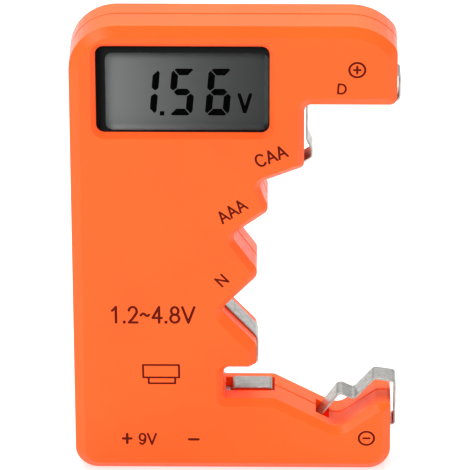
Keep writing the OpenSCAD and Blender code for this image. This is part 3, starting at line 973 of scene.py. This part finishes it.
def clear(name, tint, roughness):
    """A clear sheet: see-through, with gloss only where it is seen at a low angle.

    The gloss grows with the fifth power of how far the sheet is turned away, which is close
    to what a real surface does."""
    finish = Finish(name)
    finish.tree.nodes.remove(finish.shader)
    through = finish.add("ShaderNodeBsdfTransparent", None, {"Color": colour(*tint)})
    shine = finish.add("ShaderNodeBsdfGlossy", None, {
        "Color": colour(1, 1, 1), "Roughness": roughness,
    })
    edge_on = finish.number("ShaderNodeLayerWeight", None, {"Blend": 0.5}, output="Facing")
    both = finish.add("ShaderNodeMixShader", None, {
        0: edge_on * edge_on * edge_on * edge_on * edge_on * RIM_GLOSS,
        1: through.outputs[0], 2: shine.outputs[0],
    })
    finish.tree.links.new(both.outputs[0], finish.output.inputs["Surface"])
    return finish.material


# %% Surround
# The middle of the clear aperture and half its size, across and upright
APERTURE_MIDDLE = (-8.725, 81.35)
APERTURE_HALF = (15.225, 8.15)
# The surround's black, and the blacker black of its painted shade
BLACK, SHADED_BLACK = colour(0.008, 0.008, 0.008), colour(0.0005, 0.0005, 0.0005)
# Painted shade turns it blacker from here to there outside the aperture
SURROUND_SHADE_FROM, SURROUND_SHADE_TO = 0.1, 1.5
SURROUND_ROUGHNESS = (0.4, 0.5)


def beyond_aperture(finish):
    """How far a place lies outside the clear aperture, in millimetres; less than 0 inside."""
    sideways, upright = (
        abs(place - middle) - half
        for place, middle, half in zip(finish.along("X", "Z"), APERTURE_MIDDLE, APERTURE_HALF)
    )
    return sideways.combine("MAXIMUM", sideways, upright)


def black_surround():
    """Black, with painted shade that makes it blacker towards the wall of the opening."""
    finish = Finish("black_surround", specular_ior_level=0.05)
    grain = finish.noise(4.0, detail=2)
    finish.set(
        base_color=finish.mix(
            finish.step(beyond_aperture(finish), SURROUND_SHADE_FROM, SURROUND_SHADE_TO), BLACK, SHADED_BLACK
        ),
        roughness=finish.step(grain, 0.3, 0.7, *SURROUND_ROUGHNESS),
    )
    finish.bump(grain, depth=0.003, strength=0.4)
    return finish.material


# %% Grey film
# The film's grey on its right, the painted light that is added on its left, and where left and
# right are
GREY, LEFT_PAINTED_LIGHT = 0.040, 0.184
FILM_LEFT, FILM_RIGHT = -26.0, 9.0
# The painted shade under the aperture's upper edge, and the painted light along its lower one,
# by how far they reach inside it and outside it
SHADE_INSIDE, SHADE_OUTSIDE = 2.3, 0.4
LIGHT_INSIDE, LIGHT_OUTSIDE, LIGHT_GAIN = 1.2, 0.2, 1.25
FILM_ROUGHNESS = 0.5


def display_grey():
    """The film's grey, with painted light that makes it lighter on the left, painted shade above
    and painted light along the lower edge.
    """
    finish = Finish("display_film", ior=1.3)
    across, height = finish.along("X", "Z")
    left_share = finish.number("ShaderNodeMapRange", None, {
        0: across, 1: FILM_LEFT, 2: FILM_RIGHT, 3: 1.0, 4: 0.0,
    })
    fibre = finish.noise(5.0, detail=2)
    top, bottom = (APERTURE_MIDDLE[1] + side * APERTURE_HALF[1] for side in (1, -1))
    shade = 1.0 - finish.step(height, top - SHADE_INSIDE, top + SHADE_OUTSIDE)
    lit = 1.0 + finish.step(
        height, bottom - LIGHT_OUTSIDE, bottom + LIGHT_INSIDE, LIGHT_GAIN, 0
    )
    # The grey gets painted light on the left, painted shade at the top and painted light at the
    # bottom
    finish.set(
        base_color=(GREY + left_share * left_share * LEFT_PAINTED_LIGHT) * shade * lit
        * (0.97 + fibre * 0.06),
        roughness=FILM_ROUGHNESS + finish.step(fibre, 0.3, 0.7, 0, 0.1),
    )
    return finish.material


# %% [markdown]
# ### Who gets which finish
# The frame's record names a material slot for every solid, and a dressed piece carries the
# name of its own, so one table of finishes serves both.

# %% Give every solid its finish
FINISH_OF_SLOT = {
    "shell_plastic": orange_plastic(),
    "bezel_plastic": black_surround(),
    "clear_window": clear("clear_acrylic", tint=(0.96, 0.97, 0.97), roughness=0.03),
    "polariser": display_grey(),
    "display_glass": plain(
        "glass_edge", (0.06, 0.085, 0.08), rough=(0.08, 0.12), relief=0.0005,
        specular_ior_level=0.2,
    ),
    "reflector_film": plain("reflector", (0.6, 0.61, 0.62), metallic=0.8),
    "foam": plain("foam", (0.03, 0.03, 0.035), rough=(0.85, 0.95), grain_scale=6, relief=0.05),
    "elastic_connector": plain("silicone", (0.7, 0.68, 0.62), rough=(0.55, 0.7)),
    "board": plain("solder_mask", (0.015, 0.15, 0.05), rough=(0.25, 0.4)),
    "potting": plain("potting", (0.01, 0.01, 0.01), rough=(0.15, 0.3)),
    "chip_plastic": plain("chip_plastic", (0.02, 0.02, 0.02), rough=(0.5, 0.65)),
    "ferrite": plain("ferrite", (0.05, 0.05, 0.055), rough=(0.6, 0.75)),
    "tantalum": plain("tantalum", (0.75, 0.42, 0.08), rough=(0.35, 0.5)),
    "capacitor_ceramic": plain("ceramic", (0.45, 0.33, 0.2), rough=(0.45, 0.6)),
    "solder": plain("solder", (0.62, 0.62, 0.64), rough=(0.2, 0.35), metallic=1.0),
    "nickel_strip": nickel(),
    "red_sleeve": plain("red_sleeve", (0.55, 0.03, 0.02), rough=(0.4, 0.5)),
    "black_sleeve": plain("black_sleeve", (0.015, 0.015, 0.016), rough=(0.4, 0.5)),
    "screw_steel": plain("zinc_plating", (0.5, 0.5, 0.48), rough=(0.25, 0.4), metallic=1.0),
    "ink": plain(
        "ink", (0.13, 0.013, 0.007), rough=(0.4, 0.5), relief=0.001, specular_ior_level=0.01
    ),
    "display_segments": plain(
        "dark_segments", (0.002, 0.002, 0.002), rough=(0.5, 0.6), specular_ior_level=0.0
    ),
}


def paint(piece, slot):
    piece.data.materials.clear()
    piece.data.materials.append(FINISH_OF_SLOT[slot])


for entry in frame["record"]["subparts"]:
    paint(frame["nodes"][entry["node"]], entry["material_slot"])
for piece in [front_moulding, rear_moulding, bezel, window, reading] + strips + marks:
    paint(piece, piece["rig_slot"])
print("finishes:", len(FINISH_OF_SLOT))

# %% [markdown]
# ## Floor and light
# The even light of a studio picture comes mostly from white surroundings. Two soft lights
# shape the object: a large one overhead, a little behind it, which lights the top edges,
# and a smaller one in front and to the left. The floor is pale and gives off a little light
# of its own, which keeps it white around the object.

# %% Floor
FLOOR_SIZE = 6
FLOOR_GLOW = 0.55
FLOOR_ROUGHNESS = 0.6
FLOOR_GREY, FLOOR_DARKER = colour(0.52, 0.52, 0.52), colour(0.51, 0.51, 0.51)

deselect_all()
bpy.ops.mesh.primitive_plane_add(size=FLOOR_SIZE, location=(0, 0, 0))
floor = bpy.context.object
floor.name = "studio_floor"
floor_finish = Finish(
    "pale_floor", emission_color=colour(1, 1, 1), emission_strength=FLOOR_GLOW
)
floor_cloud = floor_finish.noise(0.01, detail=2)
floor_finish.set(
    base_color=floor_finish.mix(
        floor_finish.step(floor_cloud, 0.3, 0.7), FLOOR_GREY, FLOOR_DARKER
    ),
    roughness=FLOOR_ROUGHNESS + floor_cloud * 0.1,
)
floor.data.materials.append(floor_finish.material)
print("floor:", FLOOR_SIZE, "m wide")

# %% Lights
# Places and sizes in metres, power in watts
LIT_PLACE = Vector((0, 0, 0.05))
SURROUNDINGS = 0.8


def softbox(name, place, size, power):
    """A rectangular light that is turned towards the object."""
    deselect_all()
    bpy.ops.object.light_add(type="AREA", location=place)
    light = bpy.context.object
    light.name = name
    light.data.shape = "RECTANGLE"
    light.data.size, light.data.size_y = size
    light.data.energy = power
    aim = (Vector(place) - LIT_PLACE).to_track_quat("Z", "Y")
    light.rotation_euler = aim.to_euler()
    return light


softboxes = [
    softbox("overhead", (-0.1, 0.35, 0.9), size=(0.9, 0.7), power=9.5),
    softbox("front_left", (-0.7, -0.8, 0.7), size=(0.5, 0.5), power=4.0),
]
world = bpy.data.worlds.new("surroundings")
world.use_nodes = True
background = world.node_tree.nodes["Background"]
background.inputs["Color"].default_value = colour(1, 1, 1)
background.inputs["Strength"].default_value = SURROUNDINGS
scene.world = world
print("softboxes:", len(softboxes))
